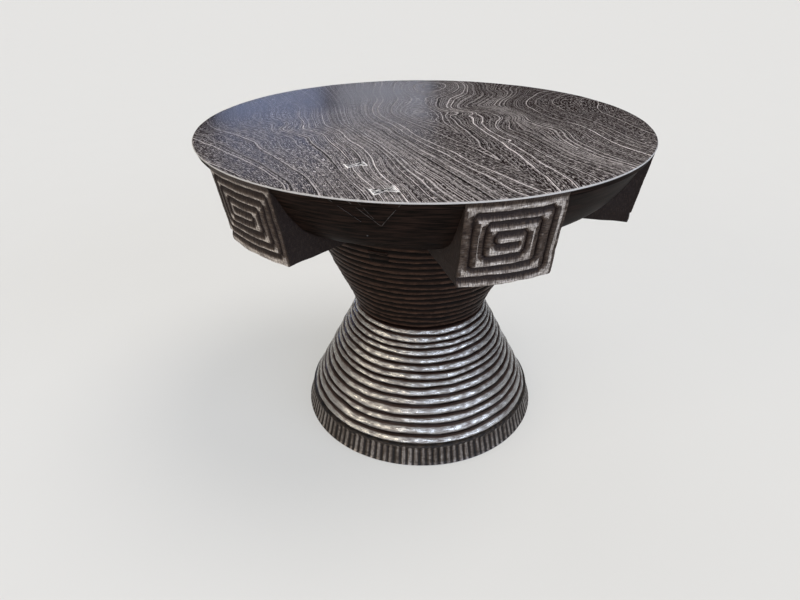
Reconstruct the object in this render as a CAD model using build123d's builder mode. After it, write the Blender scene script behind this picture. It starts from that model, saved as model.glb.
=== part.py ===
from build123d import *
from math import cos, radians, sin
import os

# African drum table.
#
# A thin round top board closes a solid, bowl-shaped drum. Six square radial blocks, each
# with a square spiral carved on its outer face, are housed in the drum's wall. The drum
# stands on an hourglass pedestal of two ringed cones and a low fluted base.
#
# Millimetres, +Z up. The origin is on the floor, at the centre of the base. Azimuths are
# degrees from the front (-Y) towards +X.

os.makedirs("parts", exist_ok=True)

# ---------------------------------------------------------------- driving dimensions

# Top board
table_height = 610.0
top_diameter = 804.0
top_thickness = 12.0
top_arris_radius = 2.5

# Bow-tie keys let into the top: distance in from the rim, azimuth, turn of the key's axis
key_depth = 8.0
large_key_length = 36.0
large_key_end_width = 27.0
large_key_waist_width = 8.0
large_key_inset = 40.0
large_key_azimuth = -26.4
large_key_turn = 3.5
small_key_length = 31.0
small_key_end_width = 21.0
small_key_waist_width = 7.0
small_key_inset = 132.0
small_key_azimuth = -39.6
small_key_turn = 6.5

# Drum bowl: steep wall from the mouth to the shoulder, then a shallow underside
rim_overhang = 3.0
shoulder_inset = 34.0
shoulder_drop = 66.0
shoulder_blend_radius = 90.0
bowl_depth = 135.0

# V-shaped patch in the bowl's wall
wall_patch_azimuth = -27.2
wall_patch_width = 54.0
wall_patch_height = 30.0
wall_patch_apex_offset = 4.0
wall_patch_depth = 36.0

# Carved blocks
block_count = 6
block_width = 148.0
block_height = 122.5
block_proud = 1.0
block_lean = 21.0
block_depth = 165.0
spiral_divisions = 8
spiral_groove_width = 5.0
spiral_groove_depth = 5.0

# Pedestal
head_diameter = 456.0
waist_diameter = 268.0
waist_height = 248.5
ring_depth = 4.0
upper_ring_count = 16
upper_ring_taper = 1.0
lower_ring_count = 14
lower_ring_taper = 0.7

# Rectangular patch in the upper cone
cone_patch_azimuth = -38.0
cone_patch_drop = 28.0
cone_patch_width = 35.0
cone_patch_length = 26.0
cone_patch_depth = 24.0

# Fluted base
foot_diameter = 500.0
flute_lean = 10.0
base_ledge_width = 3.0
flute_top_height = 37.0
base_top_height = 47.5
flute_count = 108
flute_gouge_radius = 11.0
flute_depth = 2.2

# Hidden joints
glue_gap = 0.1
spigot_end_gap = 0.5
head_tenon_diameter = 120.0
head_tenon_length = 60.0
base_spigot_diameter = 180.0
base_spigot_length = 20.0
waist_dowel_diameter = 90.0
waist_dowel_length = 140.0
head_dowel_count = 6
head_dowel_diameter = 20.0
head_dowel_length = 60.0
head_dowel_inset = 78.0
block_dowel_diameter = 16.0
block_dowel_length = 80.0
block_dowel_spacing = 70.0
board_dowel_count = 6
board_dowel_diameter = 8.0
board_dowel_length = 30.0
board_dowel_seat = 6.0
board_dowel_inset = 99.0

# Base screws and floor pads
screw_count = 6
screw_inset = 100.0
screw_shank_diameter = 6.0
screw_head_diameter = 12.0
screw_head_height = 4.0
screw_length = 80.0
screw_point_length = 8.0
pad_count = 6
pad_diameter = 36.0
pad_thickness = 3.0
pad_inset = 35.0

# ---------------------------------------------------------------- worked-out sizes

top_radius = top_diameter / 2
mouth_height = table_height - top_thickness
mouth_radius = top_radius - rim_overhang
shoulder_radius = mouth_radius - shoulder_inset
shoulder_height = mouth_height - shoulder_drop
bowl_bottom_height = mouth_height - bowl_depth
head_radius = head_diameter / 2
waist_radius = waist_diameter / 2
block_bottom_height = mouth_height - block_height
block_top_reach = mouth_radius + block_proud
block_bottom_reach = block_top_reach - block_lean
block_inner_reach = block_top_reach - block_depth
foot_radius = foot_diameter / 2
flute_top_radius = foot_radius - flute_lean
base_shoulder_radius = flute_top_radius - base_ledge_width
block_turn = 360 / block_count
front_angle = -90


def facing_plane(azimuth):
    """Vertical plane through the centre line that faces outwards at this azimuth."""
    turn = radians(azimuth)
    return Plane(origin=(0, 0, 0), x_dir=(cos(turn), sin(turn), 0), z_dir=(sin(turn), -cos(turn), 0))


def polar_point(distance, azimuth):
    """Plan position at this distance from the centre line and this azimuth."""
    turn = radians(azimuth)
    return (distance * sin(turn), -distance * cos(turn))


def key_plane(distance, azimuth, turn, height):
    """Level plane at a bow-tie key's centre, its x axis along the key."""
    x, y = polar_point(distance, azimuth)
    turned = radians(turn)
    return Plane(origin=(x, y, height), x_dir=(cos(turned), sin(turned), 0), z_dir=(0, 0, 1))


def key_corners(length, end_width, waist_width, gap=0.0):
    """Corners of a bow-tie outline, drawn in by the gap on every side."""
    half_length = length / 2 - gap
    half_end = end_width / 2 - gap
    half_waist = waist_width / 2 - gap
    return [
        (-half_length, -half_end),
        (0, -half_waist),
        (half_length, -half_end),
        (half_length, half_end),
        (0, half_waist),
        (-half_length, half_end),
    ]


def wall_patch_corners():
    """Corners of the V-shaped wall patch, seen from outside, point down."""
    return [
        (-wall_patch_width / 2, mouth_height),
        (wall_patch_apex_offset, mouth_height - wall_patch_height),
        (wall_patch_width / 2, mouth_height),
    ]


def bowl_section():
    """Half section of the drum bowl."""
    with BuildSketch(Plane.XZ) as section:
        with BuildLine():
            Polyline(
                (0, bowl_bottom_height),
                (head_radius, bowl_bottom_height),
                (shoulder_radius, shoulder_height),
                (mouth_radius, mouth_height),
                (0, mouth_height),
                close=True,
            )
        make_face()
        shoulder = section.vertices().sort_by_distance((shoulder_radius, shoulder_height))[0]
        fillet(shoulder, radius=shoulder_blend_radius)
    return section.sketch


def ring_heights(bottom, top, count, taper):
    """Heights of the grooves between carved rings; the top ring is taper times the bottom one."""
    shares = [1 + (taper - 1) * ring / (count - 1) for ring in range(count)]
    unit = (top - bottom) / sum(shares)
    return [bottom + unit * sum(shares[:ring]) for ring in range(count + 1)]


def ringed_cone_section(low_reach, bottom, high_reach, top, count, taper):
    """Half section of a cone of convex carved rings, one arc for each ring."""
    slope = (high_reach - low_reach) / (top - bottom)

    def crest(height):
        return low_reach + slope * (height - bottom)

    grooves = ring_heights(bottom, top, count, taper)
    with BuildSketch(Plane.XZ) as section:
        with BuildLine():
            for low, high in zip(grooves, grooves[1:]):
                middle = (low + high) / 2
                ThreePointArc(
                    (crest(low) - ring_depth, low),
                    (crest(middle), middle),
                    (crest(high) - ring_depth, high),
                )
            Polyline(
                (crest(top) - ring_depth, top),
                (0, top),
                (0, bottom),
                (crest(bottom) - ring_depth, bottom),
            )
        make_face()
    return section.sketch


def upper_cone_section():
    """Half section of the upper cone, from the waist out to the head."""
    return ringed_cone_section(
        waist_radius,
        waist_height,
        head_radius,
        bowl_bottom_height,
        upper_ring_count,
        upper_ring_taper,
    )


def lower_cone_section():
    """Half section of the lower cone, from the base's shoulder in to the waist."""
    return ringed_cone_section(
        base_shoulder_radius,
        base_top_height,
        waist_radius,
        waist_height,
        lower_ring_count,
        lower_ring_taper,
    )


def spiral_corners():
    """Corners of the carved groove on a square grid: columns from the left, rows from the top.

    The groove enters at the left edge, one row above the bottom, and winds inwards.
    """
    corners = [(0, spiral_divisions - 1)]
    for lap in range(1, spiral_divisions // 2):
        far = spiral_divisions - lap
        corners += [(far, far), (far, lap), (lap, lap), (lap, far - 1)]
    middle = spiral_divisions / 2
    corners.append((middle + 1, middle))
    return corners


def spiral_groove():
    """The carved groove of the front block, as bars of one width seen from the front."""
    column = block_width / spiral_divisions
    row = block_height / spiral_divisions
    points = [
        (-block_width / 2 + column * across, mouth_height - row * down)
        for across, down in spiral_corners()
    ]
    with BuildSketch(Plane.XZ) as groove:
        for (x0, z0), (x1, z1) in zip(points, points[1:]):
            with Locations(((x0 + x1) / 2, (z0 + z1) / 2)):
                Rectangle(abs(x1 - x0) + spiral_groove_width, abs(z1 - z0) + spiral_groove_width)
    return groove.sketch


def screw_section(gap=0.0):
    """Half section of a countersunk wood screw, its head flush with the base's underside."""
    head = screw_head_diameter / 2 + gap
    shank = screw_shank_diameter / 2 + gap
    tip = pad_thickness + screw_length + gap
    with BuildSketch(Plane.XZ) as section:
        with BuildLine():
            Polyline(
                (0, pad_thickness),
                (head, pad_thickness),
                (shank, pad_thickness + screw_head_height),
                (shank, tip - screw_point_length),
                (0, tip),
                close=True,
            )
        make_face()
    return section.sketch


# ---------------------------------------------------------------- top board and its keys

large_key_corners = (large_key_length, large_key_end_width, large_key_waist_width)
large_key_place = (top_radius - large_key_inset, large_key_azimuth, large_key_turn)
small_key_corners = (small_key_length, small_key_end_width, small_key_waist_width)
small_key_place = (top_radius - small_key_inset, small_key_azimuth, small_key_turn)

board_dowel_reach = mouth_radius - board_dowel_inset
first_dowel_angle = front_angle + block_turn / 2

with BuildPart() as board_dowels:
    with BuildSketch(Plane.XY.offset(mouth_height + board_dowel_seat)):
        with PolarLocations(board_dowel_reach, board_dowel_count, first_dowel_angle):
            Circle(board_dowel_diameter / 2)
    extrude(amount=-board_dowel_length)
board_dowels.part.label = "board_dowels"
export_step(board_dowels.part, "parts/board_dowels.step")

with BuildPart() as board_dowel_holes:
    with BuildSketch(Plane.XY.offset(mouth_height + board_dowel_seat + spigot_end_gap)):
        with PolarLocations(board_dowel_reach, board_dowel_count, first_dowel_angle):
            Circle(board_dowel_diameter / 2 + glue_gap)
    extrude(amount=-board_dowel_length - 2 * spigot_end_gap)

with BuildPart() as top_board:
    with BuildSketch(Plane.XY.offset(mouth_height)):
        Circle(top_radius)
    extrude(amount=top_thickness)
    fillet(top_board.faces().sort_by(Axis.Z)[-1].edges(), radius=top_arris_radius)
    with BuildSketch(key_plane(*large_key_place, table_height)):
        Polygon(*key_corners(*large_key_corners), align=None)
    with BuildSketch(key_plane(*small_key_place, table_height)):
        Polygon(*key_corners(*small_key_corners), align=None)
    extrude(amount=-key_depth, mode=Mode.SUBTRACT)
    add(board_dowel_holes.part, mode=Mode.SUBTRACT)
top_board.part.label = "top_board"
export_step(top_board.part, "parts/top_board.step")

with BuildPart() as top_key_large:
    with BuildSketch(key_plane(*large_key_place, table_height)):
        Polygon(*key_corners(*large_key_corners, glue_gap), align=None)
    extrude(amount=-key_depth)
top_key_large.part.label = "top_key_large"
export_step(top_key_large.part, "parts/top_key_large.step")

with BuildPart() as top_key_small:
    with BuildSketch(key_plane(*small_key_place, table_height)):
        Polygon(*key_corners(*small_key_corners, glue_gap), align=None)
    extrude(amount=-key_depth)
top_key_small.part.label = "top_key_small"
export_step(top_key_small.part, "parts/top_key_small.step")

# ---------------------------------------------------------------- carved blocks

block_dowel_height = block_bottom_height + block_height / 2
block_dowel_inner_end = block_inner_reach - block_dowel_length / 2

with BuildPart() as block_dowel_pair:
    with BuildSketch(Plane.XZ.offset(block_dowel_inner_end)):
        with Locations((0, block_dowel_height)):
            with GridLocations(block_dowel_spacing, 0, 2, 1):
                Circle(block_dowel_diameter / 2)
    extrude(amount=block_dowel_length)

with BuildPart() as block_dowel_hole_pair:
    with BuildSketch(Plane.XZ.offset(block_dowel_inner_end - spigot_end_gap)):
        with Locations((0, block_dowel_height)):
            with GridLocations(block_dowel_spacing, 0, 2, 1):
                Circle(block_dowel_diameter / 2 + glue_gap)
    extrude(amount=block_dowel_length + 2 * spigot_end_gap)

with BuildPart() as block_dowels:
    for number in range(block_count):
        add(block_dowel_pair.part, rotation=(0, 0, number * block_turn))
block_dowels.part.label = "block_dowels"
export_step(block_dowels.part, "parts/block_dowels.step")

# The groove is cut to one depth below the block's face, which is part of a cone about
# the centre line
with BuildPart() as spiral_cutter:
    extrude(spiral_groove(), amount=top_radius)
    with Locations((0, 0, block_bottom_height)):
        Cone(
            block_bottom_reach - spiral_groove_depth,
            block_top_reach - spiral_groove_depth,
            block_height,
            align=(Align.CENTER, Align.CENTER, Align.MIN),
            mode=Mode.SUBTRACT,
        )

with BuildPart() as front_block:
    with BuildSketch(Plane.XY.offset(block_bottom_height)):
        with Locations((0, -block_inner_reach)):
            Rectangle(block_width, top_radius - block_inner_reach, align=(Align.CENTER, Align.MAX))
    extrude(amount=block_height)
    with Locations((0, 0, block_bottom_height)):
        Cone(
            block_bottom_reach,
            block_top_reach,
            block_height,
            align=(Align.CENTER, Align.CENTER, Align.MIN),
            mode=Mode.INTERSECT,
        )
    add(spiral_cutter.part, mode=Mode.SUBTRACT)
    add(block_dowel_hole_pair.part, mode=Mode.SUBTRACT)

for number in range(block_count):
    with BuildPart() as carved_block:
        add(front_block.part, rotation=(0, 0, number * block_turn))
    carved_block.part.label = f"carved_block_{number + 1}"
    export_step(carved_block.part, f"parts/carved_block_{number + 1}.step")

# ---------------------------------------------------------------- drum bowl and its patch

wall_patch_plane = facing_plane(wall_patch_azimuth).offset(mouth_radius - wall_patch_depth)

with BuildPart() as head_dowels:
    with BuildSketch(Plane.XY.offset(bowl_bottom_height - head_dowel_length / 2)):
        with PolarLocations(head_radius - head_dowel_inset, head_dowel_count):
            Circle(head_dowel_diameter / 2)
    extrude(amount=head_dowel_length)
head_dowels.part.label = "head_dowels"
export_step(head_dowels.part, "parts/head_dowels.step")

with BuildPart() as head_dowel_holes:
    with BuildSketch(Plane.XY.offset(bowl_bottom_height - head_dowel_length / 2 - spigot_end_gap)):
        with PolarLocations(head_radius - head_dowel_inset, head_dowel_count):
            Circle(head_dowel_diameter / 2 + glue_gap)
    extrude(amount=head_dowel_length + 2 * spigot_end_gap)

with BuildPart() as drum_bowl:
    revolve(bowl_section(), axis=Axis.Z)
    # Housings for the blocks, open at the mouth
    housing_inner_reach = block_inner_reach - glue_gap
    with BuildSketch(Plane.XY.offset(block_bottom_height)):
        with PolarLocations(housing_inner_reach, block_count, front_angle):
            Rectangle(top_radius, block_width + 2 * glue_gap, align=(Align.MIN, Align.CENTER))
    extrude(amount=block_height, mode=Mode.SUBTRACT)
    with BuildSketch(wall_patch_plane):
        Polygon(*wall_patch_corners(), align=None)
    extrude(amount=wall_patch_depth, mode=Mode.SUBTRACT)
    with BuildSketch(Plane.XY.offset(bowl_bottom_height)):
        Circle(head_tenon_diameter / 2 + glue_gap)
    extrude(amount=head_tenon_length + spigot_end_gap, mode=Mode.SUBTRACT)
    for number in range(block_count):
        add(block_dowel_hole_pair.part, rotation=(0, 0, number * block_turn), mode=Mode.SUBTRACT)
    add(head_dowel_holes.part, mode=Mode.SUBTRACT)
    add(board_dowel_holes.part, mode=Mode.SUBTRACT)
drum_bowl.part.label = "drum_bowl"
export_step(drum_bowl.part, "parts/drum_bowl.step")

with BuildPart() as bowl_patch:
    revolve(bowl_section(), axis=Axis.Z)
    with BuildSketch(wall_patch_plane):
        Polygon(*wall_patch_corners(), align=None)
    extrude(amount=wall_patch_depth, mode=Mode.INTERSECT)
bowl_patch.part.label = "bowl_patch"
export_step(bowl_patch.part, "parts/bowl_patch.step")

# ---------------------------------------------------------------- upper cone and its patch

cone_patch_height = bowl_bottom_height - cone_patch_drop
cone_patch_share = (cone_patch_height - waist_height) / (bowl_bottom_height - waist_height)
cone_patch_reach = waist_radius + (head_radius - waist_radius) * cone_patch_share
cone_patch_plane = facing_plane(cone_patch_azimuth).offset(cone_patch_reach - cone_patch_depth)

with BuildPart() as waist_dowel:
    with BuildSketch(Plane.XY.offset(waist_height - waist_dowel_length / 2)):
        Circle(waist_dowel_diameter / 2)
    extrude(amount=waist_dowel_length)
waist_dowel.part.label = "waist_dowel"
export_step(waist_dowel.part, "parts/waist_dowel.step")

with BuildPart() as waist_mortise:
    with BuildSketch(Plane.XY.offset(waist_height - waist_dowel_length / 2 - spigot_end_gap)):
        Circle(waist_dowel_diameter / 2 + glue_gap)
    extrude(amount=waist_dowel_length + 2 * spigot_end_gap)

with BuildPart() as pedestal_upper:
    revolve(upper_cone_section(), axis=Axis.Z)
    with BuildSketch(cone_patch_plane):
        with Locations((0, cone_patch_height)):
            Rectangle(cone_patch_width, cone_patch_length)
    extrude(amount=2 * cone_patch_depth, mode=Mode.SUBTRACT)
    with BuildSketch(Plane.XY.offset(bowl_bottom_height)):
        Circle(head_tenon_diameter / 2)
    extrude(amount=head_tenon_length)
    add(head_dowel_holes.part, mode=Mode.SUBTRACT)
    add(waist_mortise.part, mode=Mode.SUBTRACT)
pedestal_upper.part.label = "pedestal_upper"
export_step(pedestal_upper.part, "parts/pedestal_upper.step")

with BuildPart() as pedestal_patch:
    revolve(upper_cone_section(), axis=Axis.Z)
    with BuildSketch(cone_patch_plane):
        with Locations((0, cone_patch_height)):
            Rectangle(cone_patch_width, cone_patch_length)
    extrude(amount=2 * cone_patch_depth, mode=Mode.INTERSECT)
pedestal_patch.part.label = "pedestal_patch"
export_step(pedestal_patch.part, "parts/pedestal_patch.step")

# ---------------------------------------------------------------- lower cone, base, screws and pads

with BuildPart() as screw_hole:
    revolve(screw_section(glue_gap), axis=Axis.Z)

with BuildPart() as screw:
    revolve(screw_section(), axis=Axis.Z)

with BuildPart() as base_screws:
    with PolarLocations(foot_radius - screw_inset, screw_count):
        add(screw.part)
base_screws.part.label = "base_screws"
export_step(base_screws.part, "parts/base_screws.step")

with BuildPart() as pedestal_lower:
    revolve(lower_cone_section(), axis=Axis.Z)
    with BuildSketch(Plane.XY.offset(base_top_height)):
        Circle(base_spigot_diameter / 2)
    extrude(amount=-base_spigot_length)
    add(waist_mortise.part, mode=Mode.SUBTRACT)
    with PolarLocations(foot_radius - screw_inset, screw_count):
        add(screw_hole.part, mode=Mode.SUBTRACT)
pedestal_lower.part.label = "pedestal_lower"
export_step(pedestal_lower.part, "parts/pedestal_lower.step")

# One gouge cut follows the sloping side of the base and runs on past it, one rise below
# and one rise above
flute_rise = flute_top_height - pad_thickness
gouge_reach = foot_radius + flute_gouge_radius - flute_depth
gouge_start = (gouge_reach + flute_lean, pad_thickness - flute_rise)
gouge_end = (gouge_reach - 2 * flute_lean, flute_top_height + flute_rise)

with BuildPart() as flute_cutter:
    with BuildLine(Plane.XZ):
        Line(gouge_start, gouge_end)
    with BuildSketch(Plane.XY.offset(gouge_start[1])):
        with Locations((gouge_start[0], 0)):
            Circle(flute_gouge_radius)
    sweep()

with BuildPart() as fluted_base:
    with BuildSketch(Plane.XZ):
        with BuildLine():
            Polyline(
                (0, pad_thickness),
                (foot_radius, pad_thickness),
                (flute_top_radius, flute_top_height),
                (base_shoulder_radius - ring_depth, base_top_height),
                (0, base_top_height),
                close=True,
            )
        make_face()
    revolve(axis=Axis.Z)
    with PolarLocations(0, flute_count):
        add(flute_cutter.part, mode=Mode.SUBTRACT)
    with BuildSketch(Plane.XY.offset(base_top_height)):
        Circle(base_spigot_diameter / 2 + glue_gap)
    extrude(amount=-base_spigot_length - spigot_end_gap, mode=Mode.SUBTRACT)
    with PolarLocations(foot_radius - screw_inset, screw_count):
        add(screw_hole.part, mode=Mode.SUBTRACT)
fluted_base.part.label = "fluted_base"
export_step(fluted_base.part, "parts/fluted_base.step")

with BuildPart() as floor_pads:
    with BuildSketch(Plane.XY):
        with PolarLocations(foot_radius - pad_inset, pad_count, front_angle + block_turn / 2):
            Circle(pad_diameter / 2)
    extrude(amount=pad_thickness)
floor_pads.part.label = "floor_pads"
export_step(floor_pads.part, "parts/floor_pads.step")
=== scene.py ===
from math import cos, pi, radians, sin

import bpy
import numpy as np
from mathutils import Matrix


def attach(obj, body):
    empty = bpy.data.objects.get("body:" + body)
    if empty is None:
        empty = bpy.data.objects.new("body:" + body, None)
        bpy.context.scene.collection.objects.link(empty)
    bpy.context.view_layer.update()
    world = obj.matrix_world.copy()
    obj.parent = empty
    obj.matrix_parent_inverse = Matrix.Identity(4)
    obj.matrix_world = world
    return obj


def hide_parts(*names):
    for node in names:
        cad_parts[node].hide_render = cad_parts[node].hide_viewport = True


# A carved drum table in dark teak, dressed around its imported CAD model.
#
# Lengths are millimetres in the shaping code and become metres when a mesh is made. The
# floor is z = 0 and azimuths are degrees from the front (-Y) towards +X.

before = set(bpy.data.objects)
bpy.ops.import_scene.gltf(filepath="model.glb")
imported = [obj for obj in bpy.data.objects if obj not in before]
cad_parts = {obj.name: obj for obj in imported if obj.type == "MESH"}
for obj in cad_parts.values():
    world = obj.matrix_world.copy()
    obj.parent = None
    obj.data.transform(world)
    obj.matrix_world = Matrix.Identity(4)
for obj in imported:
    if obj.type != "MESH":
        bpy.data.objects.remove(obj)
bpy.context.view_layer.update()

TABLE_HEIGHT = 610.0
MOUTH_HEIGHT = 598.0
TOP_RADIUS = 402.0
FACE_TOP = 607.4
BLOCK_WIDTH = 148.0
BLOCK_HEIGHT = 122.5
BLOCK_FOOT_HEIGHT = 475.5
BLOCK_FOOT_REACH = 379.0
BLOCK_TOP_REACH = 400.0
BLOCK_INNER_REACH = 238.0
WAIST_HEIGHT = 248.5
WAIST_RADIUS = 134.0
HEAD_HEIGHT = 463.0
HEAD_RADIUS = 228.0
PAD_THICKNESS = 3.0


# ---------------------------------------------------------------- small helpers


def hex_colour(text):
    """An sRGB hex value as the linear colour that shaders take."""
    parts = [int(text[i : i + 2], 16) / 255 for i in (1, 3, 5)]
    linear = [c / 12.92 if c <= 0.04045 else ((c + 0.055) / 1.055) ** 2.4 for c in parts]
    return (*linear, 1.0)


def put(tree, kind, inputs=None, out=0, **settings):
    """Add one shader node, set or link its inputs, and give back one of its outputs."""
    made = tree.nodes.new("ShaderNode" + kind)
    for name, value in settings.items():
        setattr(made, name, value)
    for key, value in (inputs or {}).items():
        if isinstance(value, bpy.types.NodeSocket):
            tree.links.new(value, made.inputs[key])
        else:
            made.inputs[key].default_value = value
    return made.outputs[out] if made.outputs else None


def add_object(name, data):
    """Put a mesh, a light or the camera into the scene under this name."""
    added = bpy.data.objects.new(name, data)
    bpy.context.scene.collection.objects.link(added)
    return added


def drift(seed, across, along=0.0, wrap=256):
    """Smooth noise from -1 to 1 with a feature size of one unit; across repeats after wrap."""
    lattice = np.random.RandomState(seed).uniform(-1, 1, (wrap, 256))
    i, j = np.floor(across).astype(int), np.floor(along).astype(int)
    s, t = across - i, along - j
    s, t = s * s * (3 - 2 * s), t * t * (3 - 2 * t)
    rows, columns = (i % wrap, (i + 1) % wrap), (j % 256, (j + 1) % 256)
    near, far = (lattice[rows[0], k] * (1 - s) + lattice[rows[1], k] * s for k in columns)
    return near * (1 - t) + far * t


def polar(radius, azimuth):
    """Plan position at this radius and azimuth, the azimuth in degrees."""
    turn = np.radians(azimuth)
    return radius * np.sin(turn), -radius * np.cos(turn)


def swing(x, y, turn):
    """Plan position turned about the origin, the turn in radians."""
    return np.cos(turn) * x - np.sin(turn) * y, np.sin(turn) * x + np.cos(turn) * y


def smooth_line(points, count):
    """Evenly spread points on a smooth curve through the given ones."""
    given = np.array(points, float)
    steps = np.hypot(*np.diff(given, axis=0).T)
    at = np.concatenate([[0], np.cumsum(steps)])
    tangents = np.gradient(given, at, axis=0)
    wanted = np.linspace(0, at[-1], count)
    cell = np.clip(np.searchsorted(at, wanted, side="right") - 1, 0, len(steps) - 1)
    span = steps[cell][:, None]
    t = ((wanted - at[cell]) / steps[cell])[:, None]
    return (
        given[cell] * (2 * t**3 - 3 * t**2 + 1)
        + given[cell + 1] * (3 * t**2 - 2 * t**3)
        + tangents[cell] * span * (t**3 - 2 * t**2 + t)
        + tangents[cell + 1] * span * (t**3 - t**2)
    )


def make_piece(name, points, faces, slot, finish, replaced=None, crease=35.0, marks=None):
    """Make one mesh piece from points in mm, dress it and let it ride on the table.

    Replaced is the node that it stands for. Marks holds one row of three numbers for each
    point, which the finish reads. Edges turn sharp beyond a crease of this many degrees.
    """
    mesh = bpy.data.meshes.new(name)
    mesh.from_pydata((np.asarray(points) / 1000).tolist(), [], faces)
    if marks is not None:
        layer = mesh.attributes.new("carving", "FLOAT_VECTOR", "POINT")
        layer.data.foreach_set("vector", np.asarray(marks, np.float32).ravel())
    mesh.shade_smooth()
    mesh.set_sharp_from_angle(angle=radians(crease))
    mesh.materials.append(finish)
    piece = add_object(name, mesh)
    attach(piece, "root")
    if replaced:
        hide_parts(replaced)
    return piece


def lathe_faces(rows, columns):
    """Quads of a closed ring grid, rows counted from the first ring, plus its two end fans.

    The two end centres are the last two points: first the one of row 0, then the other.
    """
    faces = []
    for row in range(rows - 1):
        low, high = row * columns, (row + 1) * columns
        for column in range(columns):
            beside = (column + 1) % columns
            faces.append((low + column, low + beside, high + beside, high + column))
    first, last = rows * columns, rows * columns + 1
    top = (rows - 1) * columns
    for column in range(columns):
        beside = (column + 1) % columns
        faces.append((first, beside, column))
        faces.append((last, top + column, top + beside))
    return faces


def slab_faces(rows, columns):
    """Faces of a slab: a face grid whose rows run down, a back grid like it, and its edge."""
    across = columns + 1
    back = (rows + 1) * across
    faces = []
    for row in range(rows):
        for column in range(columns):
            a = row * across + column
            quad = (a, a + across, a + across + 1, a + 1)
            faces += [quad, tuple(back + point for point in (quad[0], *quad[:0:-1]))]
    right, foot = [r * across + columns for r in range(rows)], rows * across
    rim = [*range(columns), *right, *range(foot + columns, foot, -1), *range(foot, 0, -across)]
    faces += [(a, b, back + b, back + a) for a, b in zip(rim, rim[1:] + rim[:1])]
    return faces


def ring_grid(radii, heights, azimuth):
    """Radius, height and azimuth by row and column, from one radius and height to a row."""
    grids = np.broadcast_arrays(np.array(radii)[:, None], np.array(heights)[:, None], azimuth)
    return [grid.astype(float) for grid in grids]


def lathe_piece(name, radius, height, azimuth, marks, slot, finish, node, crease=35.0):
    """Make a piece round the table's axis from radius, height, azimuth and marks by row."""
    rows, columns = radius.shape
    x, y = polar(radius, azimuth)
    grid = np.stack([x, y, height], axis=-1).reshape(-1, 3)
    centres = [(0, 0, height[0].mean()), (0, 0, height[-1].mean())]
    points = np.concatenate([grid, centres])
    marks = with_centres(marks)
    faces = lathe_faces(rows, columns)
    return make_piece(name, points, faces, slot, finish, node, crease, marks)


def with_centres(marks):
    """Marks by row and column as a plain list, with those of the two end centres added."""
    marks = marks.reshape(-1, 3)
    return np.concatenate([marks, marks[:1], marks[-1:]])


# ---------------------------------------------------------------- finishes

# Settings that many nodes share
TIMES = {"operation": "MULTIPLY"}
TIMES_PLUS = {"operation": "MULTIPLY_ADD"}
LARGER = {"operation": "MAXIMUM"}
EASED = {"interpolation_type": "SMOOTHSTEP"}
TINTS = {"data_type": "RGBA", "out": 2}


def new_finish(name):
    """An empty material and its node tree."""
    material = bpy.data.materials.new(name)
    material.use_nodes = True
    material.node_tree.nodes.clear()
    return material, material.node_tree


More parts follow.
